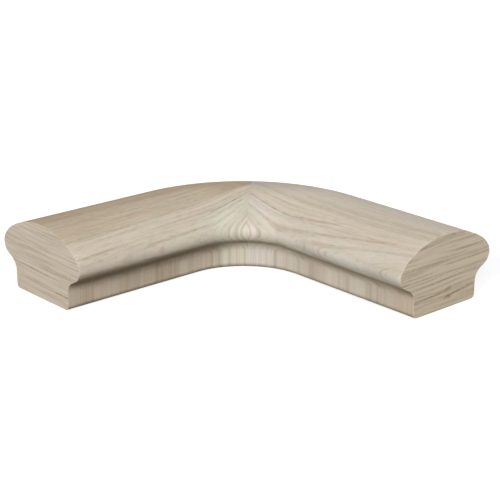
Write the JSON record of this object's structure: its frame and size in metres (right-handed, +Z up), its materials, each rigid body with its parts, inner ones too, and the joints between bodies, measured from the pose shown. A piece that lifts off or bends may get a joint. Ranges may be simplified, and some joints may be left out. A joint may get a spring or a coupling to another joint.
{
  "type": "handrail quarter turn",
  "caption": "Level quarter turn for a moulded wooden handrail: mitred halves sweep round the bend into straight legs with plain square ends for joining to the rail.",
  "frame": {"origin": "on the flat underside, where the centreline of the rail crosses the mitre in the middle of the bend", "axes": "+Z up through the crown of the rail; +X along one leg, away from the bend; the other leg runs along -Y; the concave side of the bend faces +X and -Y"},
  "size_m": [0.186, 0.186, 0.0416],
  "materials": {
    "rail_wood": "planed and sanded, unfinished",
    "dowel_wood": "turned, unfinished"
  },
  "bodies": {
    "root": {"right_half": "rail_wood", "left_half": "rail_wood", "inner_dowel": "dowel_wood", "outer_dowel": "dowel_wood"}
  },
  "joints": []
}
